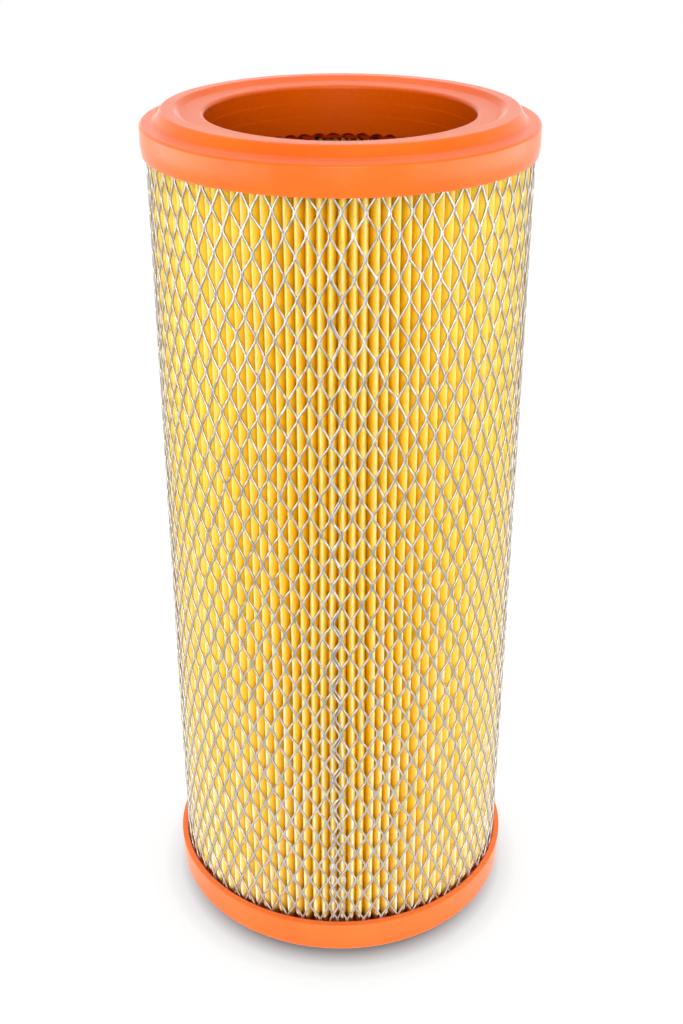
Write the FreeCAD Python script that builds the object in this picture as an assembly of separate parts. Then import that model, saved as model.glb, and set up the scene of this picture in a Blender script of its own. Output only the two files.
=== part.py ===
import FreeCAD
import Part
import math
import os

# Cylindrical engine air filter element. A folded paper pack stands between a closed bottom
# cap and an open top cap, both moulded in soft polyurethane. A tube of expanded steel guards
# the folds outside, and a second one carries them inside, because air flows inward.
# Origin: centre of the underside. +Z runs up the axis to the open cap. Millimetres.

# Bore and the rings round it, from the axis outward
bore_radius = 37.5            # bore of the top cap
lining_wall = 0.9             # soft wall between the bore and the core
core_thickness = 0.6
pleat_depth = 13.1            # radial depth of the folded paper
screen_thickness = 0.65
skirt_wall = 1.15             # top cap's wall outside the screen
rim_wall = 1.5                # bottom cap's wall outside the screen
cap_clearance = 0.1           # a tube to the soft walls beside it
pack_clearance = 0.1          # a tube to the tips of the folds beside it

# Heights, from the base upward
floor_thickness = 6.0         # under the pack
pack_height = 243.0           # width of the paper band and of both steel sheets
plate_thickness = 3.0         # over the pack, up to the shoulder
lip_height = 3.4              # sealing lip over the shoulder
rim_height = 10.9             # bottom cap's outer rim over the base
hub_height = 9.0              # bottom cap's disc inside the core, over the base
skirt_depth = 5.0             # top cap's skirt below the end of the pack
lining_depth = 10.0           # bore's lining below the end of the pack

# Top cap's moulded face
recess_width = 6.3            # recessed ring round the bore
recess_depth = 1.4            # ring below the lip
lip_slope = 1.7               # width of the lip's inner slope
lip_flat = 3.8                # width of the lip's flat top
lip_flank = 1.7               # width of the lip's outer slope
skirt_draft = 0.15
skirt_tuck = 0.5              # how far the skirt's lower edge is drawn in
skirt_tuck_height = 2.5

# Bottom cap's foot
rim_draft = 0.4
dish_radius = 32.0            # shallow dish in the underside
dish_depth = 1.2
dish_slope = 1.5

# Broken corners of the two mouldings
bore_bevel = 0.7
lip_bevel = 0.5
shoulder_bevel = 0.6
rim_bevel = 0.3
foot_bevel = 0.9

# Folded paper
pleat_count = 112
paper_thickness = 0.55

# Expanded steel: staggered rows of diamonds, cut off at both ends as the sheet is.
# Rolled up, such a sheet bends along its knuckles and its strands stay straight.
screen_columns = 12
screen_rows = 10
core_columns = 10
core_rows = 8
strand_width = 2.6
knuckle_length = 3.0          # straight sides where two diamonds lie side by side

# Radii that follow
lining_radius = bore_radius + lining_wall
core_flats = lining_radius + cap_clearance
core_corners = (core_flats + core_thickness) / math.cos(math.pi / core_columns / 2)
pleat_inner = core_corners + pack_clearance
pleat_outer = pleat_inner + pleat_depth
screen_flats = pleat_outer + pack_clearance
screen_corners = (screen_flats + screen_thickness) / math.cos(math.pi / screen_columns / 2)
pocket_radius = screen_corners + cap_clearance
skirt_radius = pocket_radius + skirt_wall
rim_radius = pocket_radius + rim_wall

# Heights that follow
pack_bottom = floor_thickness
pack_top = pack_bottom + pack_height
shoulder_top = pack_top + plate_thickness
lip_top = shoulder_top + lip_height
recess_floor = lip_top - recess_depth
skirt_end = pack_top - skirt_depth
lining_end = pack_top - lining_depth


def spot(radius, height):
    """A point of an outline in the plane through the axis."""
    return FreeCAD.Vector(radius, 0, height)


def polar(radius, angle):
    """A point at a radius and an angle in radians round the axis."""
    return FreeCAD.Vector(radius * math.cos(angle), radius * math.sin(angle), 0)


def turned(corners):
    """Solid of revolution from its half outline, as (radius, height, bevel) corners.

    A bevel cuts its corner off at that distance along both sides.
    """
    points = [spot(radius, height) for radius, height, _ in corners]
    outline = []
    for index, (_, _, bevel) in enumerate(corners):
        corner = points[index]
        if bevel == 0:
            outline.append(corner)
            continue
        for neighbour in (points[index - 1], points[(index + 1) % len(points)]):
            outline.append(corner + (neighbour - corner).normalize() * bevel)
    face = Part.Face(Part.makePolygon(outline + outline[:1]))
    return face.revolve(FreeCAD.Vector(0, 0, 0), FreeCAD.Vector(0, 0, 1), 360)


def extruded_ring(outside, inside):
    """Wall between two closed outlines, over the height of the pack."""
    section = Part.makeFace([outside, inside], "Part::FaceMakerBullseye")
    section.translate(FreeCAD.Vector(0, 0, pack_bottom))
    return section.extrude(FreeCAD.Vector(0, 0, pack_height))


def top_cap():
    """Open cap: skirt, shoulder, raised sealing lip, recessed ring and lined bore."""
    recess_edge = bore_radius + recess_width
    lip_inner = recess_edge + lip_slope
    lip_outer = lip_inner + lip_flat
    corners = [
        (bore_radius, lining_end, 0),
        (lining_radius, lining_end, 0),
        (lining_radius, pack_top, 0),
        (pocket_radius, pack_top, 0),
        (pocket_radius, skirt_end, 0),
        (skirt_radius - skirt_tuck, skirt_end, 0),
        (skirt_radius, skirt_end + skirt_tuck_height, 0),
        (skirt_radius - skirt_draft, shoulder_top, shoulder_bevel),
        (lip_outer + lip_flank, shoulder_top, 0),
        (lip_outer, lip_top, lip_bevel),
        (lip_inner, lip_top, 0),
        (recess_edge, recess_floor, 0),
        (bore_radius, recess_floor, bore_bevel),
    ]
    return turned(corners)


def bottom_cap():
    """Closed cap: outer rim, pocket for the pack, disc inside the core, dished underside."""
    corners = [
        (0, dish_depth, 0),
        (dish_radius - dish_slope, dish_depth, 0),
        (dish_radius, 0, 0),
        (rim_radius - rim_draft, 0, foot_bevel),
        (rim_radius, rim_height, rim_bevel),
        (pocket_radius, rim_height, 0),
        (pocket_radius, pack_bottom, 0),
        (lining_radius, pack_bottom, 0),
        (lining_radius, hub_height, 0),
        (0, hub_height, 0),
    ]
    return turned(corners)


def fold_wire(tip_radius, valley_radius, first_angle, outward):
    """Closed zigzag, flat at each fold's tip, with a sharp crease between two tips.

    A tip lies one paper thickness away from the crease of the paper's other face.
    """
    half_pitch = math.pi / pleat_count
    points = []
    for index in range(pleat_count):
        angle = first_angle + 2 * half_pitch * index
        ahead = polar(outward, angle)
        centre = polar(tip_radius - outward * paper_thickness, angle)
        for side in (-1, 1):
            crease = polar(valley_radius + outward * paper_thickness, angle + side * half_pitch)
            run = crease - centre
            swing = math.acos(paper_thickness / run.Length)
            across = polar(1, math.atan2(run.y, run.x) - side * outward * swing)
            reach = paper_thickness / math.cos(across.getAngle(ahead) / 2)
            points.append(centre + (across + ahead).normalize() * reach)
        points.append(crease)
    return Part.makePolygon(points + points[:1])


def pleat_pack():
    """One paper band in radial folds, its ends joined, so that it is a closed zigzag."""
    half_pitch = math.pi / pleat_count
    outside = fold_wire(pleat_outer, pleat_inner, 0, 1)
    inside = fold_wire(pleat_inner, pleat_outer, half_pitch, -1)
    return extruded_ring(outside, inside)


def bent_wire(flats, columns):
    """Outline of a sheet bent along its knuckles, twice for each column of diamonds."""
    half_turn = math.pi / columns / 2
    corners = flats / math.cos(half_turn)
    points = [polar(corners, 2 * half_turn * index) for index in range(2 * columns)]
    return Part.makePolygon(points + points[:1])


def gap_cutters(flats, thickness, columns, rows):
    """Prisms through the wall of a rolled sheet, one for each diamond, in staggered rows.

    The first and last rows lie on the sheet's two cut ends, inside the caps.
    """
    corners = (flats + thickness) / math.cos(math.pi / columns / 2)
    half_width = corners * math.sin(math.pi / columns)
    half_height = pack_height / (rows - 1)
    inset = strand_width / 2
    shrink = 1 - inset * math.hypot(half_width, half_height) / (half_width * half_height)
    tall = half_height * shrink
    side = knuckle_length / 2
    wide = half_width * shrink * (1 - side / tall)
    outline = [
        (0, tall), (wide, side), (wide, -side),
        (0, -tall), (-wide, -side), (-wide, side),
    ]
    near = flats - half_width
    points = [FreeCAD.Vector(near, across, up) for across, up in outline + outline[:1]]
    face = Part.Face(Part.makePolygon(points))
    prism = face.extrude(FreeCAD.Vector(corners + thickness - near, 0, 0))
    cutters = []
    for row in range(rows):
        height = pack_bottom + half_height * row
        for column in range(columns):
            cutter = prism.copy()
            turn = 360 / columns * (column + (row % 2) / 2)
            cutter.rotate(FreeCAD.Vector(0, 0, 0), FreeCAD.Vector(0, 0, 1), turn)
            cutter.translate(FreeCAD.Vector(0, 0, height))
            cutters.append(cutter)
    return cutters


def expanded_tube(flats, thickness, columns, rows):
    """Steel sheet slit and drawn into diamonds, rolled into a tube round its flats."""
    wall = extruded_ring(bent_wire(flats + thickness, columns), bent_wire(flats, columns))
    return wall.cut(Part.makeCompound(gap_cutters(flats, thickness, columns, rows)))


def outer_screen():
    """Guard round the folds."""
    return expanded_tube(screen_flats, screen_thickness, screen_columns, screen_rows)


def inner_core():
    """Support inside the folds."""
    return expanded_tube(core_flats, core_thickness, core_columns, core_rows)


def save(name, shape):
    """Write one piece, as its solid, to its own file."""
    solid = shape.Solids[0]
    solid.exportStep(os.path.join("parts", name + ".step"))


os.makedirs("parts", exist_ok=True)
save("top_cap", top_cap())
save("bottom_cap", bottom_cap())
save("pleat_pack", pleat_pack())
save("outer_screen", outer_screen())
save("inner_core", inner_core())
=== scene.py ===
import math

import bmesh
import bpy
import numpy as np
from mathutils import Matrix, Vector


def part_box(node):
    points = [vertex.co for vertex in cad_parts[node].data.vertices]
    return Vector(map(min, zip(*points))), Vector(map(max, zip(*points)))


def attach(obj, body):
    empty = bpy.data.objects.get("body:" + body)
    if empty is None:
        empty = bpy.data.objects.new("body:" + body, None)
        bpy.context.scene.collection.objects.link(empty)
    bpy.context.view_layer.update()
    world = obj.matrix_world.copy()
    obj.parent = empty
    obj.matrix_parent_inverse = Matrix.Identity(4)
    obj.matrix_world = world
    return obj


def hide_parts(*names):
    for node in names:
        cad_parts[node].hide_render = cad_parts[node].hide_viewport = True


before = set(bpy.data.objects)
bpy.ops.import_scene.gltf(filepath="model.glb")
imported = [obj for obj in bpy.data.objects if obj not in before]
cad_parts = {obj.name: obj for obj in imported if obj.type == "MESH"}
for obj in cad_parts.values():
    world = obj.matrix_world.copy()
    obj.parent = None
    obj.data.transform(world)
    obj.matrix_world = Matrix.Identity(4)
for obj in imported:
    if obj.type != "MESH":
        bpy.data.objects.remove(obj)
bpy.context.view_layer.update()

# A cylindrical air filter element in metres: two soft caps, folded paper between them, and
# a tube of expanded steel on each side of the paper. Azimuth 0 is the front, at -Y, and it
# grows towards +X.

TAU = 2 * math.pi
MM = 0.001

cap_low, cap_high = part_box("top_cap")
_, foot_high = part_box("bottom_cap")
pack_low, pack_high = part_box("pleat_pack")
_, screen_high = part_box("outer_screen")

pack_bottom = pack_low.z
pack_top = pack_high.z
pack_height = pack_top - pack_bottom


# Meshes

ARC_STEPS = 4                 # faces over a rounded corner
END_SUPPORT = 0.14 * MM       # from a corner to the point that keeps the face beside it flat
SAME_POINT = 0.0001 * MM      # points nearer than this are joined


def make_object(name, vertices, faces):
    """Smooth mesh object from an array of points and a list of face index tuples."""
    mesh = bpy.data.meshes.new(name)
    mesh.from_pydata([tuple(v) for v in vertices], [], [tuple(f) for f in faces])
    mesh.update()
    mesh.polygons.foreach_set("use_smooth", [True] * len(mesh.polygons))
    obj = bpy.data.objects.new(name, mesh)
    bpy.context.scene.collection.objects.link(obj)
    return obj


def grid_faces(rows, columns, wrap_rows=False, wrap_columns=False, start=0):
    """Quads over a rows by columns array of points, which may close in either direction."""
    row = np.arange(rows if wrap_rows else rows - 1)
    column = np.arange(columns if wrap_columns else columns - 1)
    row, column = np.meshgrid(row, column, indexing="ij")
    next_row = (row + 1) % rows
    next_column = (column + 1) % columns
    corners = [
        row * columns + column,
        row * columns + next_column,
        next_row * columns + next_column,
        next_row * columns + column,
    ]
    return np.stack(corners, axis=-1).reshape(-1, 4) + start


def at_azimuth(radius, azimuth, height):
    """Points at a radius, an azimuth in radians and a height."""
    return np.stack([radius * np.sin(azimuth), -radius * np.cos(azimuth), height], axis=-1)


def add_float(obj, name, values, domain="POINT"):
    """A number on each vertex or face, for its material to read."""
    attribute = obj.data.attributes.new(name, "FLOAT", domain)
    attribute.data.foreach_set("value", np.asarray(values, np.float32).ravel())


def rounded(corners):
    """Outline through (radius, height, round) corners, each round drawn as an arc."""
    points = [Vector((radius, height)) for radius, height, _ in corners]
    outline = []
    for index, (_, _, rounding) in enumerate(corners):
        corner = points[index]
        if rounding == 0:
            outline.append(corner)
            continue
        back = (points[index - 1] - corner).normalized()
        ahead = (points[(index + 1) % len(points)] - corner).normalized()
        half_angle = back.angle(ahead) / 2
        middle = (back + ahead).normalized()
        centre = corner + middle * rounding / math.sin(half_angle)
        start = corner + back * rounding / math.tan(half_angle) - centre
        end = corner + ahead * rounding / math.tan(half_angle) - centre
        for step in range(ARC_STEPS + 1):
            swing = start.slerp(end, step / ARC_STEPS)
            outline.append(centre + swing.normalized() * rounding)
    return np.array([tuple(point) for point in outline])


def split_long_runs(outline, longest):
    """The same closed outline with extra points on its straight runs.

    A run has a point close to each of its ends, so that its faces look flat between them.
    """
    points = []
    for index, point in enumerate(outline):
        after = outline[(index + 1) % len(outline)]
        length = np.linalg.norm(after - point)
        along = (after - point) / length
        points.append(point)
        if length < 4 * END_SUPPORT:
            continue
        pieces = math.ceil(length / longest)
        middle = [length * piece / pieces for piece in range(1, pieces)]
        for reach in [END_SUPPORT, *middle, length - END_SUPPORT]:
            points.append(point + along * reach)
    return np.array(points)


def lathe(name, outline, segments, shape):
    """Closed outline of (radius, height) turned round the axis.

    shape(radius, height, azimuth) returns each point's radius and height as they end up.
    """
    azimuth = np.linspace(0, TAU, segments, endpoint=False)[:, None]
    radius = np.broadcast_to(outline[:, 0], (segments, len(outline)))
    height = np.broadcast_to(outline[:, 1], (segments, len(outline)))
    azimuth = np.broadcast_to(azimuth, radius.shape)
    radius, height = shape(radius, height, azimuth)
    points = at_azimuth(radius, azimuth, height).reshape(-1, 3)
    faces = grid_faces(segments, len(outline), wrap_rows=True, wrap_columns=True)
    return make_object(name, points, faces)


def close_axis(obj):
    """Join a lathe's points on the axis, and drop the ones that no face is left with."""
    body = bmesh.new()
    body.from_mesh(obj.data)
    bmesh.ops.remove_doubles(body, verts=body.verts, dist=SAME_POINT)
    alone = [vertex for vertex in body.verts if not vertex.link_faces]
    bmesh.ops.delete(body, geom=alone, context="VERTS")
    body.to_mesh(obj.data)
    body.free()


def waves(azimuth, height, seed, fastest, slowest=1, count=6, rise=60.0):
    """Smooth random swell over the tube, between about -1 and 1, the same on each run.

    It is a sum of count waves that turn slowest to fastest times round the tube, and that
    climb by up to rise radians a metre.
    """
    rng = np.random.default_rng(seed)
    total = np.zeros(np.broadcast(azimuth, height).shape)
    for _ in range(count):
        turns = rng.integers(slowest, fastest + 1)
        lift = rng.uniform(-rise, rise)
        phase = rng.uniform(0, TAU)
        total = total + np.sin(turns * azimuth + lift * height + phase)
    return total / math.sqrt(count)


# Nodes

def is_socket(value):
    """Whether an input's value is another node's output."""
    return isinstance(value, bpy.types.NodeSocket)


def fill(node, inputs):
    """Set a node's inputs to values, or link them to sockets."""
    for name, value in inputs.items():
        if is_socket(value):
            node.id_data.links.new(value, node.inputs[name])
        else:
            node.inputs[name].default_value = value


def node_maker(tree):
    """Function that adds nodes to one tree, each with its inputs and its settings."""
    def add(kind, inputs=None, **settings):
        node = tree.nodes.new(kind)
        for key, value in settings.items():
            setattr(node, key, value)
        fill(node, inputs or {})
        return node

    return add


def object_place(add):
    """Coordinates in the object's own frame."""
    return add("ShaderNodeTexCoord").outputs["Object"]


def attribute(add, name):
    """A number that the mesh carries."""
    return add("ShaderNodeAttribute", attribute_name=name).outputs["Fac"]


def noise(add, place, scale, detail, roughness=0.5):
    """Fractal noise, from 0 to 1."""
    inputs = {"Vector": place, "Scale": scale, "Detail": detail, "Roughness": roughness}
    return add("ShaderNodeTexNoise", inputs).outputs["Fac"]


def remapped(add, value, source, target=(0.0, 1.0)):
    """A number taken from one range to another, and held at its ends."""
    inputs = {"Value": value, "From Min": source[0], "From Max": source[1],
              "To Min": target[0], "To Max": target[1]}
    return add("ShaderNodeMapRange", inputs).outputs["Result"]


def combined(add, operation, first, second):
    """Two numbers joined by a Math operation."""
    return add("ShaderNodeMath", {0: first, 1: second}, operation=operation).outputs[0]


def ramp(add, factor, stops):
    """Colour ramp through (position, colour) stops."""
    stops = list(stops)
    node = add("ShaderNodeValToRGB", {"Fac": factor})
    elements = node.color_ramp.elements
    while len(elements) < len(stops):
        elements.new(0.5)
    for element, (position, colour) in zip(elements, stops):
        element.position = position
        element.color = (*colour, 1)
    return node.outputs["Color"]


def mixed(add, factor, first, second, blend="MIX"):
    """Colour mix of two sockets or colours. The Mix node's colours have places, not names."""
    first, second = (c if is_socket(c) else (*c, 1) for c in (first, second))
    node = add("ShaderNodeMix", {0: factor, 6: first, 7: second}, data_type="RGBA",
               blend_type=blend)
    return node.outputs[2]


def bumped(add, height, strength, distance, **under):
    """Normal with a relief, over the one that under gives as Normal."""
    inputs = {"Height": height, "Strength": strength, "Distance": distance, **under}
    return add("ShaderNodeBump", inputs).outputs["Normal"]


def new_material(name):
    """Material, its shader, and a function that adds nodes to it."""
    material = bpy.data.materials.new(name)
    material.use_nodes = True
    tree = material.node_tree
    return material, tree.nodes["Principled BSDF"], node_maker(tree)


# Materials. Colours are linear, and sets of three run from dark to pale.

WHITE = (1, 1, 1)
BLACK = (0, 0, 0)

TOP_ORANGE = ((0.90, 0.115, 0.002), (0.93, 0.136, 0.004), (0.95, 0.162, 0.008))
BORE_ORANGE = ((0.93, 0.126, 0.001), (0.95, 0.135, 0.001), (0.96, 0.142, 0.001))
# The potting behind the bore's arches takes a dark red: painted shade in that recess.
POTTING_PAINTED_SHADE = ((0.60, 0.036, 0.001), (0.68, 0.045, 0.001), (0.73, 0.055, 0.001))
# Paler and yellower than the top cap: partly the foot's own tone, partly painted sheen.
FOOT_ORANGE_AND_PAINTED_SHEEN = ((0.90, 0.158, 0.020), (0.93, 0.178, 0.026), (0.95, 0.202, 0.034))
CAP_GRAIN = (0.96, 0.95, 0.94)
SKIN_GLOSS = 0.27             # specular level of the outer skin, which has bloomed
SKIN_BLOOM = 0.30
INSIDE_GLOSS = 0.10           # specular level inside the bore, which has no bloom

PAPER_CREST = ((1.0, 0.76, 0.105), (1.0, 0.79, 0.125), (1.0, 0.82, 0.160))
# Darker amber down the folds' flanks, below the pale tips: painted shade.
PAPER_FLANK_PAINTED_SHADE = (0.94, 0.58, 0.004)
FLANK_FROM = 0.65             # share of the slope from tip to flank where that colour is full
PAPER_GRAIN = (0.95, 0.89, 0.72)
# Pale colour along the fold tips, wider and paler towards the foot: painted highlight.
PAPER_TIP_HIGHLIGHT = (0.97, 0.77, 0.46)
PAPER_TIP_NEAR_FOOT = (0.98, 0.94, 0.90)
TIP_FOOT_HEIGHTS = (0.16, 0.03)         # metres, where the low colour starts and is full

STEEL_TONES = ((0.24, 0.225, 0.205), (0.37, 0.35, 0.325), (0.62, 0.59, 0.55))
# Paler steel towards the foot: painted light.
STEEL_FOOT_PAINTED_LIGHT = (0.80, 0.78, 0.77)
# Colour of the strands' side faces, paler than their outer faces: painted light at the tube's
# sides.
STEEL_SIDE_PAINTED_LIGHT = (0.50, 0.46, 0.41)
STEEL_FOOT_LIGHT_HEIGHTS = (0.15, 0.02)
STEEL_FOOT_LIGHT_SHARE = 0.40


def cap_material(name, colours, gloss, bloom):
    """Soft moulded polyurethane: a matt skin with pores, faint flow marks and bloom."""
    material, shader, add = new_material(name)
    place = object_place(add)
    flow = noise(add, place, scale=38.0, detail=4.0, roughness=0.55)
    tint = ramp(add, flow, zip((0.30, 0.52, 0.78), colours))
    specks = noise(add, place, scale=900.0, detail=2.0, roughness=0.6)
    grain = ramp(add, specks, [(0.35, CAP_GRAIN), (0.65, WHITE)])
    skin = noise(add, place, scale=1600.0, detail=3.0, roughness=0.6)
    pores = add("ShaderNodeTexVoronoi", {"Vector": place, "Scale": 420.0})
    pits = ramp(add, pores.outputs["Distance"], [(0.03, BLACK), (0.10, WHITE)])
    fine = bumped(add, skin, strength=0.06, distance=0.2 * MM)
    fill(shader, {
        "Base Color": mixed(add, 1.0, tint, grain, "MULTIPLY"),
        "Normal": bumped(add, pits, strength=0.15, distance=0.2 * MM, Normal=fine),
        "Roughness": 0.36,
        "Specular IOR Level": gloss,
        "Sheen Weight": bloom,
        "Sheen Roughness": 0.35,
        "Sheen Tint": (*WHITE, 1),
    })
    return material


def paper_material(name):
    """Resin-treated filter paper: fibre grain, painted shade down the folds' flanks and a painted
    highlight on their tips.
    """
    material, shader, add = new_material(name)
    place = object_place(add)
    stretch = add("ShaderNodeMapping", {"Vector": place, "Scale": (1.0, 1.0, 0.45)})
    fibres = noise(add, stretch.outputs["Vector"], scale=1100.0, detail=4.0, roughness=0.65)
    cloud = noise(add, place, scale=70.0, detail=3.0)
    crest = ramp(add, cloud, zip((0.30, 0.55, 0.80), PAPER_CREST))
    # painted shade down the flanks, full a little below the tip
    fold_painted_shade = remapped(add, attribute(add, "fold_painted_shade"), (0.0, FLANK_FROM))
    body = mixed(add, fold_painted_shade, crest, PAPER_FLANK_PAINTED_SHADE)
    grain = ramp(add, fibres, [(0.30, PAPER_GRAIN), (0.60, WHITE)])
    base = mixed(add, 1.0, body, grain, "MULTIPLY")
    height = add("ShaderNodeSeparateXYZ", {"Vector": place}).outputs["Z"]
    low = remapped(add, height, TIP_FOOT_HEIGHTS)
    highlight_colour = mixed(add, low, PAPER_TIP_HIGHLIGHT, PAPER_TIP_NEAR_FOOT)
    fuzz = noise(add, place, scale=330.0, detail=2.0)
    patches = remapped(add, fuzz, (0.35, 0.65), (0.55, 1.15))
    # painted highlight along the tips, in patches
    highlight = combined(add, "MULTIPLY", attribute(add, "fold"), patches)
    fill(shader, {
        "Base Color": mixed(add, highlight, base, highlight_colour),
        "Normal": bumped(add, fibres, strength=0.55, distance=0.3 * MM),
        "Roughness": 0.88,
        "Specular IOR Level": 0.04,
    })
    return material


def steel_material(name):
    """Dull zinc-coated steel: grey with small bright and dark patches, paler at the foot and on
    the strands' side faces, both painted light.
    """
    material, shader, add = new_material(name)
    place = object_place(add)
    patch = noise(add, place, scale=420.0, detail=3.0)
    tone = ramp(add, patch, zip((0.28, 0.50, 0.75), STEEL_TONES))
    height = add("ShaderNodeSeparateXYZ", {"Vector": place}).outputs["Z"]
    # painted light, paler towards the foot
    low = remapped(add, height, STEEL_FOOT_LIGHT_HEIGHTS, (0.0, STEEL_FOOT_LIGHT_SHARE))
    paler = mixed(add, low, tone, STEEL_FOOT_PAINTED_LIGHT)
    fill(shader, {
        # the strands' side faces take painted light
        "Base Color": mixed(add, attribute(add, "slit"), paler, STEEL_SIDE_PAINTED_LIGHT),
        "Normal": bumped(add, patch, strength=0.2, distance=0.1 * MM),
        "Roughness": remapped(add, patch, (0.0, 1.0), (0.28, 0.5)),
        "Metallic": 0.9,
    })
    return material


def dress(obj, materials, node):
    """Give a piece its materials, and let it stand for its CAD node."""
    for material in materials:
        obj.data.materials.append(material)
    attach(obj, "root")
    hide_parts(node)


# Caps: the CAD outlines again, with their corners rounded as the mould leaves them

CAP_SEGMENTS = 480
NEAR = 0.05 * MM              # margin when points of an outline are picked by their place
BACK = math.pi                # azimuth of the back

# Top cap, radii from the axis outward
BORE_RADIUS = 37.5 * MM
BORE_STEP = 0.07 * MM         # depth of each ledge in the bore
LINING_RADIUS = 38.1 * MM     # back of the bore's lining
POTTING_INNER = 38.3 * MM     # foam that has risen round the core
POTTING_OUTER = 39.6 * MM
RECESS_EDGE = 43.8 * MM
LIP_INNER = 45.5 * MM
LIP_OUTER = 49.3 * MM
LIP_FOOT = 51.0 * MM
POCKET_RADIUS = 54.05 * MM
WALL_RADIUS = 54.55 * MM      # points beyond it are on a cap's outer wall
SKIRT_DRAFT = 0.15 * MM
SKIRT_TUCK = 0.45 * MM

# Top cap, heights
POTTING_END = 238.15 * MM
POTTING_SLOPE = 1.6 * MM
SKIRT_END = 243.6 * MM
TUCK_HEIGHT = 3.0 * MM
LEDGES = (249.1 * MM, 245.0 * MM)
SHOULDER_HEIGHT = 252.0 * MM
RECESS_HEIGHT = 254.0 * MM
TOP_RUN = 3.0 * MM            # longest run of the outline between two points

# The bore's lining ends in arches. The ledges fade at the back, and the foam is ragged.
SCALLOPS = 53
SCALLOP_HEIGHT = 0.85 * MM
SCALLOP_CHANGE = 0.5          # share of the arches' height that varies
SCALLOP_REACH = 4.7 * MM      # over the lining's end, where the arches have faded out
SCALLOP_FADE = 3.0 * MM
LEDGE_FADE = 0.8              # share of a ledge that is gone at the back
LEDGE_FADE_WIDTH = 0.55       # radians
POTTING_RAGGED = 0.4 * MM
TOP_SWELL = 0.06 * MM

# Places in the top cap's list of materials, and the edge of the bore's own. The potting's place
# takes the dark red of painted shade.
BORE_FINISH = 1
POTTING_SHADE_PLACE = 2
BORE_EDGE = BORE_RADIUS + 0.01 * MM

# Bottom cap
DISH_HEIGHT = 1.2 * MM
DISH_FLAT = 30.5 * MM
DISH_RADIUS = 32.0 * MM
HUB_RADIUS = 38.4 * MM
HUB_HEIGHT = 9.0 * MM
FOOT_POCKET = 53.65 * MM
FOOT_DRAFT = 0.4 * MM
RIM_SLOPE = 0.4 * MM
FOOT_RUN = 4.0 * MM
FOOT_SWELL = 0.05 * MM


def top_cap_piece():
    """Open cap with its lip, recessed ring and stepped bore.

    The bore's lining ends in small arches, and behind them the foam has risen round the core.
    """
    narrow = BORE_RADIUS - 2 * BORE_STEP
    middle = BORE_RADIUS - BORE_STEP
    outer = cap_high.x
    lining_end = cap_low.z
    lip_top = cap_high.z
    corners = [
        (narrow, lining_end, 0.2 * MM),
        (LINING_RADIUS, lining_end, 0),
        (LINING_RADIUS, POTTING_END + POTTING_SLOPE, 0),
        (POTTING_INNER, POTTING_END, 0),
        (POTTING_OUTER, POTTING_END, 0),
        (POTTING_OUTER, pack_top, 0),
        (POCKET_RADIUS, pack_top, 0),
        (POCKET_RADIUS, SKIRT_END, 0.1 * MM),
        (outer - SKIRT_TUCK, SKIRT_END, 0.4 * MM),
        (outer, SKIRT_END + TUCK_HEIGHT, 18.0 * MM),
        (outer - SKIRT_DRAFT, SHOULDER_HEIGHT, 0.8 * MM),
        (LIP_FOOT, SHOULDER_HEIGHT, 1.6 * MM),
        (LIP_OUTER, lip_top, 0.7 * MM),
        (LIP_INNER, lip_top, 0.9 * MM),
        (RECESS_EDGE, RECESS_HEIGHT, 0.9 * MM),
        (BORE_RADIUS, RECESS_HEIGHT, 1.0 * MM),
        (BORE_RADIUS, LEDGES[0], 0),
        (middle, LEDGES[0] - 2 * BORE_STEP, 0),
        (middle, LEDGES[1], 0),
        (narrow, LEDGES[1] - 2 * BORE_STEP, 0),
    ]
    outline = split_long_runs(rounded(corners), TOP_RUN)

    def shape(radius, height, azimuth):
        near_edge = np.clip((lining_end + SCALLOP_REACH - height) / SCALLOP_FADE, 0, 1)
        behind = (radius < LINING_RADIUS + 2 * NEAR) & (height < lining_end + NEAR)
        lining = (radius < LINING_RADIUS - NEAR) | behind
        uneven = 1 + SCALLOP_CHANGE * waves(azimuth, 0, seed=11, fastest=29, rise=0)
        arch = np.abs(np.cos(azimuth * SCALLOPS / 2))
        height = height + near_edge * lining * SCALLOP_HEIGHT * arch * uneven
        potting = (np.abs(height - POTTING_END) < NEAR) & (radius > LINING_RADIUS + 2 * NEAR)
        ragged = waves(azimuth, 0, seed=12, fastest=70, slowest=15, count=9, rise=0)
        height = height + potting * POTTING_RAGGED * ragged
        at_back = np.exp(-((azimuth - BACK) / LEDGE_FADE_WIDTH) ** 2)
        calm = at_back * (radius < BORE_RADIUS)
        radius = radius + calm * LEDGE_FADE * (BORE_RADIUS - radius)
        swell = waves(azimuth, height, seed=5, fastest=7) * TOP_SWELL
        return radius - np.abs(swell) * (radius > WALL_RADIUS), height

    obj = lathe("top_cap_moulding", outline, CAP_SEGMENTS, shape)
    radius, height = ((outline + np.roll(outline, -1, axis=0)) / 2).T
    bore = (radius < BORE_EDGE) & (height < RECESS_HEIGHT)
    # Faces of the risen foam, which take the painted shade
    potting = (radius > LINING_RADIUS - NEAR) & (radius < POTTING_INNER + 2 * NEAR)
    finish = bore * BORE_FINISH + (potting & (height < pack_top)) * POTTING_SHADE_PLACE
    obj.data.polygons.foreach_set("material_index", np.tile(finish, CAP_SEGMENTS))
    return obj


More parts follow.
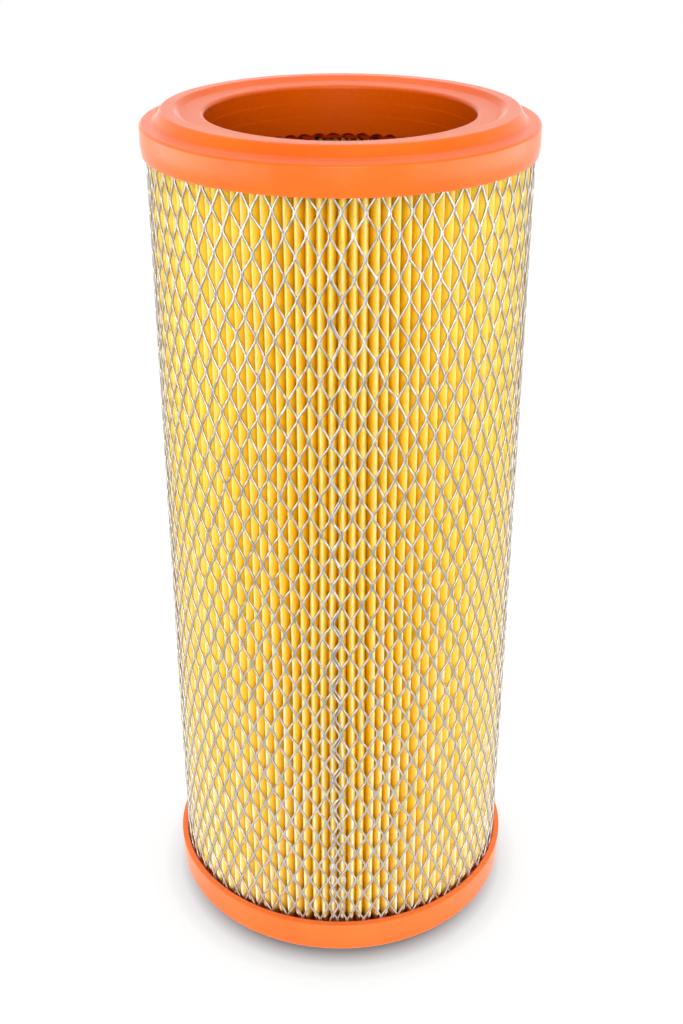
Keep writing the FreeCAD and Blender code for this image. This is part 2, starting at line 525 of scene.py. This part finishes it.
def bottom_cap_piece():
    """Closed cap with its rim, its pocket for the pack and its dished underside."""
    outer = foot_high.x
    rim = foot_high.z
    corners = [
        (0, DISH_HEIGHT, 0),
        (DISH_FLAT, DISH_HEIGHT, 1.0 * MM),
        (DISH_RADIUS, 0, 1.0 * MM),
        (outer - FOOT_DRAFT, 0, 1.3 * MM),
        (outer, rim - RIM_SLOPE, 0.35 * MM),
        (FOOT_POCKET, rim, 0.25 * MM),
        (FOOT_POCKET, pack_bottom, 0),
        (HUB_RADIUS, pack_bottom, 0),
        (HUB_RADIUS, HUB_HEIGHT, 0.3 * MM),
        (0, HUB_HEIGHT, 0),
    ]
    outline = split_long_runs(rounded(corners), FOOT_RUN)

    def shape(radius, height, azimuth):
        swell = waves(azimuth, height, seed=8, fastest=7) * FOOT_SWELL
        return radius - np.abs(swell) * (radius > WALL_RADIUS), height

    obj = lathe("bottom_cap_moulding", outline, CAP_SEGMENTS, shape)
    close_axis(obj)
    return obj


# Folded paper

PLEATS = 112
PLEAT_PITCH = TAU / PLEATS
PLEAT_OUTER = pack_high.x - 0.1 * MM
PLEAT_PHASE = 0.19            # in pitches
PAPER = 0.30 * MM
TIP_ROUND = 0.27 * MM
TIP_TURN = math.radians(62)
TIP_STEPS = 2
FLANK = ((0.42, 0.42), (1.44, 3.5), (1.455, 9.5), (1.02, 12.0))   # (across, depth) in mm
VALLEY_DEPTH = 12.6 * MM
LOW_ROWS = (0, 3.0, 3.9, 4.7, 5.4, 6.1, 6.9, 7.9)                 # mm over the lower edge
PLAIN_ROWS = 18

# How the folds wander: lean and bend are in pitches
LEAN = 0.03
BEND = 0.06
TIP_POWER = 1.5               # lean and bend grow by it from the valley to the tip
RETREAT = 0.35 * MM           # most that a tip lies back from the pack's outside

# The folds' lower ends are drawn in, most of all at the front
TUCK_TOP = 13.6 * MM
TUCK_FADE = 4.4 * MM
TUCK = 1.0 * MM
FRONT_TUCK = 1.4 * MM
FRONT_POWER = 12
ROUND_SHARE = 0.999           # of a quarter turn's width, short of where it stands upright

# Painted highlights along the fold tips, wider and paler towards the foot
HIGHLIGHT_TOP = 140.0 * MM
HIGHLIGHT_WIDTH = (0.20 * MM, 0.14 * MM)   # at the top, and what the foot adds
HIGHLIGHT_LEVEL = 0.54
HIGHLIGHT_CHANGE = 0.30
HIGHLIGHT_LEAST = 0.1
HIGHLIGHT_LOW_GAIN = 0.5


def fold_outline(offset):
    """One fold from its left valley to the last point before the next, laid flat.

    Points are (across in pitches, depth below the tip in metres). offset moves them into
    the paper, for its other side.
    """
    half_pitch = math.pi * PLEAT_OUTER / PLEATS
    right = [(0.0, 0.0)]
    for step in range(1, TIP_STEPS + 1):
        swing = TIP_TURN * step / TIP_STEPS
        right.append((TIP_ROUND * math.sin(swing), TIP_ROUND * (1 - math.cos(swing))))
    right += [(across * MM, depth * MM) for across, depth in FLANK]
    right.append((half_pitch, VALLEY_DEPTH))
    left = [(-across, depth) for across, depth in reversed(right[1:])]
    points = np.array(left + right)
    run = np.gradient(points, axis=0)
    run[0] = run[-1] = (1, 0)
    run /= np.linalg.norm(run, axis=1, keepdims=True)
    inward = np.stack([-run[:, 1], run[:, 0]], axis=1)
    moved = points + inward * offset
    return moved[:-1] / (2 * half_pitch, 1)


def pack_rows():
    """Heights over the pack, close together where the folds' lower ends are rounded."""
    low = pack_bottom + np.array(LOW_ROWS) * MM
    return np.concatenate([low, np.linspace(low[-1], pack_top, PLAIN_ROWS)[1:]])


def tip_highlight(depth, azimuth, height):
    """How much painted highlight each point takes, from 0 to 1."""
    low = np.clip((HIGHLIGHT_TOP - height) / HIGHLIGHT_TOP, 0, 1)
    near_tip = np.exp(-(depth / (HIGHLIGHT_WIDTH[0] + HIGHLIGHT_WIDTH[1] * low)) ** 2)
    swell = waves(azimuth, height, seed=44, fastest=110, slowest=20, count=9, rise=300)
    patches = np.clip(HIGHLIGHT_LEVEL + HIGHLIGHT_CHANGE * swell, HIGHLIGHT_LEAST, 1)
    return np.clip(near_tip * (1 + HIGHLIGHT_LOW_GAIN * low) * patches, 0, 1)


def pleat_piece():
    """The paper band: folds that wander a little, with painted highlights on their tips, painted
    shade down their flanks, and rounded lower ends.
    """
    rng = np.random.default_rng(21)
    lean = rng.normal(0, LEAN, PLEATS)[:, None, None]
    retreat = rng.uniform(0, RETREAT, PLEATS)[:, None, None]
    index = np.arange(PLEATS)[:, None, None]
    height = pack_rows()[None, None, :]
    azimuth = index * PLEAT_PITCH
    bend = BEND * waves(azimuth, height, seed=31, fastest=22, slowest=3, count=8, rise=70)
    end = np.clip((TUCK_TOP - height) / TUCK_FADE, 0, ROUND_SHARE)
    bow = 1 - np.sqrt(1 - end ** 2)
    front = np.maximum(np.cos(azimuth), 0) ** FRONT_POWER
    shade_from_depth, shade_full_depth = FLANK[0][1] * MM, FLANK[1][1] * MM
    points, folds, painted_fold_shades, faces = [], [], [], []
    for side, offset in enumerate((0.0, PAPER)):
        section = fold_outline(offset)
        across = section[:, 0][None, :, None]
        depth = section[:, 1][None, :, None]
        near_tip = np.clip(1 - depth / VALLEY_DEPTH, 0, 1)
        tuck = (TUCK + FRONT_TUCK * front) * bow * near_tip
        radius = PLEAT_OUTER - depth - retreat * near_tip - tuck
        turn = index + PLEAT_PHASE + across + (lean + bend) * near_tip ** TIP_POWER
        radius, turn, depth, tall = np.broadcast_arrays(radius, turn * PLEAT_PITCH, depth, height)
        points.append(at_azimuth(radius, turn, tall).reshape(-1, 3))
        folds.append(tip_highlight(depth, turn, tall).ravel() * (1 - side))
        # how far into the painted shade of the flanks each point lies
        painted_fold_shades.append(np.clip((depth - shade_from_depth) / (shade_full_depth - shade_from_depth), 0, 1).ravel())
        columns = PLEATS * len(section)
        rows = height.size
        sheet = grid_faces(columns, rows, wrap_rows=True, start=side * columns * rows)
        faces.append(sheet[:, ::-1] if side else sheet)
    ring = np.arange(columns)
    after = (ring + 1) % columns
    inner_side = columns * rows
    for row in (0, rows - 1):
        a = ring * rows + row
        b = after * rows + row
        edge = np.stack([a, b, b + inner_side, a + inner_side], axis=-1)
        faces.append(edge[:, ::-1] if row else edge)
    obj = make_object("folded_paper", np.concatenate(points), np.concatenate(faces))
    add_float(obj, "fold", np.concatenate(folds))
    add_float(obj, "fold_painted_shade", np.concatenate(painted_fold_shades))
    return obj


# Expanded steel

STRAND_WIDTH = 0.54 * MM
STRAND_THICKNESS = 0.40 * MM
STRAND_BEND = ((0.0, 0.0), (0.15, 0.03), (0.5, 0.5), (0.85, 0.97))   # (share up, share across)
KNUCKLE_SPREAD = 0.42         # of a strand's width, from a knuckle to each strand's middle
KNUCKLE_SHIFT = 0.055         # spread of the knuckles' places, in half columns and half rows
SHEET_LIMITS = (pack_bottom + 0.2 * MM, pack_top - 0.2 * MM)

SCREEN_COLUMNS = 57
SCREEN_ROWS = 50
SCREEN_HALF_ROW = 5.58 * MM
SCREEN_BASE = -0.4 * MM
SCREEN_INSET = 0.22 * MM
ROW_ARCH = (6.0 * MM, 13.0 * MM)      # sag of a row from front to side, at the top and foot
COLUMN_LEAN = math.radians(5.0)
FOOT_TAPER = 0.45 * MM
TAPER_TOP = 60.0 * MM
SEAM_AZIMUTH = math.radians(0.42)
SEAM_STEP = 0.36 * MM         # from the sheet's outer edge in to the edge that it covers
SEAM_SLIP = math.radians(1.3)
SLIP_START = 0.4              # share of the height, from the top
SLIP_POWER = 6                # keeps the slip near the seam

CORE_COLUMNS = 40
CORE_ROWS = 46
CORE_HALF_ROW = 5.5 * MM
CORE_RADIUS = 39.1 * MM


def wire_line(wire, shift, place):
    """Middle line of one zigzag wire, as azimuth, radius and height.

    It runs through knuckles left and right of it by turns, and leans away from each by a
    part of its width, so that two wires lie side by side there.
    """
    row = np.arange(shift.shape[1])
    at_right = (wire + row) % 2 == 1
    node = wire + at_right
    side = np.where(at_right, -1.0, 1.0)
    u_node = node + shift[node, row, 0]
    v_node = row + shift[node, row, 1]
    u, v, away = [], [], []
    for up, across in STRAND_BEND:
        u.append(u_node[:-1] * (1 - across) + u_node[1:] * across)
        v.append(v_node[:-1] * (1 - up) + v_node[1:] * up)
        away.append(side[:-1] * (1 - across) + side[1:] * across)
    u, v, away = (np.stack(parts, 1).ravel() for parts in (u, v, away))
    azimuth, radius, height = place(u, v)
    inside = np.flatnonzero((height > SHEET_LIMITS[0]) & (height < SHEET_LIMITS[1]))
    kept = slice(max(inside[0] - 1, 0), inside[-1] + 2)
    azimuth = azimuth[kept] + away[kept] * STRAND_WIDTH * KNUCKLE_SPREAD / radius[kept]
    return azimuth, radius[kept], np.clip(height[kept], *SHEET_LIMITS)


def expanded_sheet(name, wires, rows, place, seed):
    """Sheet slit and drawn into diamonds, as zigzag wires that touch at the knuckles.

    place(u, v) gives azimuth, radius and height for sheet coordinates in half columns and
    half rows.
    """
    rng = np.random.default_rng(seed)
    shift = rng.normal(0, KNUCKLE_SHIFT, (wires + 1, rows + 1, 2))
    points, faces, slits, total = [], [], [], 0
    for wire in range(wires):
        azimuth, radius, height = wire_line(wire, shift, place)
        centre = at_azimuth(radius, azimuth, height)
        tangent = np.gradient(centre, axis=0)
        tangent /= np.linalg.norm(tangent, axis=1, keepdims=True)
        outward = at_azimuth(np.ones_like(azimuth), azimuth, np.zeros_like(azimuth))
        across = np.cross(outward, tangent)
        across /= np.linalg.norm(across, axis=1, keepdims=True)
        lift = np.cross(tangent, across)
        ring = []
        for a, b in ((-1, -1), (1, -1), (1, 1), (-1, 1)):
            ring.append(centre + across * a * STRAND_WIDTH / 2
                        + lift * b * STRAND_THICKNESS / 2)
        steps = len(centre)
        quads = grid_faces(steps, 4, wrap_columns=True)
        last = 4 * steps - 1
        ends = np.array([[0, 1, 2, 3], [last, last - 1, last - 2, last - 3]])
        points.append(np.stack(ring, 1).reshape(-1, 3))
        faces.append(np.concatenate([quads, ends]) + total)
        slits.append(np.concatenate([np.tile([0, 1, 0, 1], steps - 1), [1, 1]]))
        total += 4 * steps
    obj = make_object(name, np.concatenate(points), np.concatenate(faces))
    add_float(obj, "slit", np.concatenate(slits), "FACE")
    return obj


def screen_place(u, v):
    """Rolled guard: its edges overlap by one diamond at the front and slip out of line below."""
    column = TAU / SCREEN_COLUMNS
    share = u / (2 * SCREEN_COLUMNS)
    height = SCREEN_BASE + v * SCREEN_HALF_ROW
    drop = np.clip((pack_top - height) / pack_height, 0, 1)
    azimuth = share * TAU - column / 2
    lean = COLUMN_LEAN * drop * np.sin(azimuth)
    low = np.clip((drop - SLIP_START) / (1 - SLIP_START), 0, 1)
    near_start = np.clip(1 - share, 0, 1) ** SLIP_POWER
    near_end = np.clip(share, 0, 1) ** SLIP_POWER
    azimuth = azimuth - lean - SEAM_SLIP * low * (near_start - near_end) + SEAM_AZIMUTH
    sag = ROW_ARCH[0] + (ROW_ARCH[1] - ROW_ARCH[0]) * drop
    height = height - sag * (1 - np.cos(azimuth))
    drawn_in = FOOT_TAPER * np.clip((TAPER_TOP - height) / TAPER_TOP, 0, 1)
    radius = screen_high.x - SCREEN_INSET - SEAM_STEP * share - drawn_in
    return azimuth, radius, height


def core_place(u, v):
    """Inner tube, rolled once round with its edges meeting."""
    azimuth = u / (2 * CORE_COLUMNS) * TAU
    return azimuth, np.full_like(azimuth, CORE_RADIUS), v * CORE_HALF_ROW


def screen_piece():
    """Guard round the folds, with one more wire than goes once round, for the overlap."""
    return expanded_sheet("outer_mesh", 2 * SCREEN_COLUMNS + 1, SCREEN_ROWS, screen_place, 3)


def core_piece():
    """Support inside the folds."""
    return expanded_sheet("inner_mesh", 2 * CORE_COLUMNS, CORE_ROWS, core_place, 4)


# Stage: pale floor, white surroundings, and soft boxes at both sides, above, in front and
# behind. Lengths are in metres.

WORLD_LIGHT = 0.24
FLOOR_RADIUS = 0.9
FLOOR_SIDES = 96
FLOOR_SEEN = 0.08             # grey of the floor to the eye, which its glow adds to
FLOOR_LIGHT = 0.9             # grey of the floor to the light
# The floor's glow fades towards the foot, most at the front: a painted shadow over the faint real
# one.
PAINTED_SHADOW_CENTRE = (0, -7.0 * MM, 0)
PAINTED_SHADOW_REACH = 100 * MM
FLOOR_GLOW_AND_PAINTED_SHADOW = ((0.485, 0.19), (0.52, 0.47), (0.56, 0.76), (0.62, 0.91), (0.80, 0.98))
LAMP_TARGET = (0, 0, 0.12)
SOFT_BOXES = (
    # name, azimuth in degrees, distance, height, width, tall, power
    ("left_box", -80, 1.0, 0.12, 1.95, 0.22, 9.2),
    ("right_box", 80, 1.0, 0.12, 1.95, 0.22, 9.2),
    ("top_box", 180, 0.2, 1.3, 1.7, 1.3, 11.8),
    ("front_box", 0, 1.3, 0.45, 0.5, 0.5, 9.6),
    ("back_box", 180, 1.3, 0.12, 0.9, 0.5, 4.5),
)


def only_seen(add, seen, hidden):
    """A number for camera, mirror and glass rays, and another for the rest."""
    path = add("ShaderNodeLightPath").outputs
    direct = combined(add, "MAXIMUM", path["Is Camera Ray"], path["Is Glossy Ray"])
    either = combined(add, "MAXIMUM", direct, path["Is Transmission Ray"])
    return remapped(add, either, (0.0, 1.0), (hidden, seen))


def floor_piece():
    """White floor with a painted shadow round the element's foot, over the faint real shadow that
    it keeps.
    """
    bpy.ops.mesh.primitive_circle_add(vertices=FLOOR_SIDES, radius=FLOOR_RADIUS,
                                      fill_type="NGON")
    floor = bpy.context.active_object
    floor.name = "floor"
    material, shader, add = new_material("floor_white")
    moved = add("ShaderNodeVectorMath", {0: object_place(add), 1: PAINTED_SHADOW_CENTRE},
                operation="SUBTRACT")
    distance = add("ShaderNodeVectorMath", {0: moved.outputs[0]}, operation="LENGTH")
    share = combined(add, "DIVIDE", distance.outputs["Value"], PAINTED_SHADOW_REACH)
    # glow that dims towards the foot: painted shadow
    glow = ramp(add, share, [(at, (level,) * 3) for at, level in FLOOR_GLOW_AND_PAINTED_SHADOW])
    fill(shader, {
        "Base Color": only_seen(add, FLOOR_SEEN, FLOOR_LIGHT),
        "Roughness": 1.0,
        "Specular IOR Level": 0.0,
        "Emission Color": (*WHITE, 1),
        "Emission Strength": only_seen(add, glow, 0.0),
    })
    floor.data.materials.append(material)


def soft_box(name, azimuth, distance, height, width, tall, power):
    """Rectangular lamp at an azimuth in degrees, facing the middle of the element."""
    lamp = bpy.data.lights.new(name, "AREA")
    lamp.shape = "RECTANGLE"
    lamp.size = width
    lamp.size_y = tall
    lamp.energy = power
    obj = bpy.data.objects.new(name, lamp)
    turn = math.radians(azimuth)
    obj.location = (distance * math.sin(turn), -distance * math.cos(turn), height)
    aim = Vector(LAMP_TARGET) - obj.location
    obj.rotation_euler = aim.to_track_quat("-Z", "Y").to_euler()
    bpy.context.scene.collection.objects.link(obj)


def light_stage():
    """World that is white to the eye and weaker as a light, and the soft boxes."""
    world = bpy.data.worlds.new("studio")
    bpy.context.scene.world = world
    world.use_nodes = True
    tree = world.node_tree
    strength = only_seen(node_maker(tree), 1.0, WORLD_LIGHT)
    fill(tree.nodes["Background"], {"Color": (*WHITE, 1), "Strength": strength})
    for box in SOFT_BOXES:
        soft_box(*box)


# Camera, from the ellipses of the caps in the photograph

PHOTO_WIDTH = 683
PHOTO_HEIGHT = 1024
AXIS_PIXEL_X = 340.7
FOCAL_PIXELS = 1399.4
CAMERA_PITCH = math.radians(27.135)
CAMERA_DISTANCE = 391.7 * MM
CAMERA_HEIGHT = 330.9 * MM
SENSOR = 36.0


def make_camera():
    """Camera that looks down at the element from the front."""
    camera = bpy.data.cameras.new("camera")
    camera.sensor_width = SENSOR
    camera.lens = FOCAL_PIXELS / PHOTO_HEIGHT * SENSOR
    obj = bpy.data.objects.new("camera", camera)
    reach = math.hypot(CAMERA_DISTANCE, CAMERA_HEIGHT)
    side = (PHOTO_WIDTH / 2 - AXIS_PIXEL_X) / FOCAL_PIXELS * reach
    obj.location = (side, -CAMERA_DISTANCE, CAMERA_HEIGHT)
    obj.rotation_euler = (math.pi / 2 - CAMERA_PITCH, 0, 0)
    bpy.context.scene.collection.objects.link(obj)
    bpy.context.scene.camera = obj


make_camera()
floor_piece()
light_stage()
bpy.context.scene.view_settings.view_transform = "Standard"

top_soft = cap_material("cap_orange", TOP_ORANGE, SKIN_GLOSS, SKIN_BLOOM)
bore_soft = cap_material("bore_orange", BORE_ORANGE, INSIDE_GLOSS, 0.0)
# dark red on the potting: painted shade
shaded_potting = cap_material("potting_shade_orange", POTTING_PAINTED_SHADE, INSIDE_GLOSS, 0.0)
bottom_soft = cap_material("foot_orange", FOOT_ORANGE_AND_PAINTED_SHEEN, SKIN_GLOSS, SKIN_BLOOM)
paper = paper_material("filter_paper")
steel = steel_material("zinc_steel")

dress(top_cap_piece(), (top_soft, bore_soft, shaded_potting), "top_cap")
dress(bottom_cap_piece(), (bottom_soft,), "bottom_cap")
dress(pleat_piece(), (paper,), "pleat_pack")
dress(screen_piece(), (steel,), "outer_screen")
dress(core_piece(), (steel,), "inner_core")
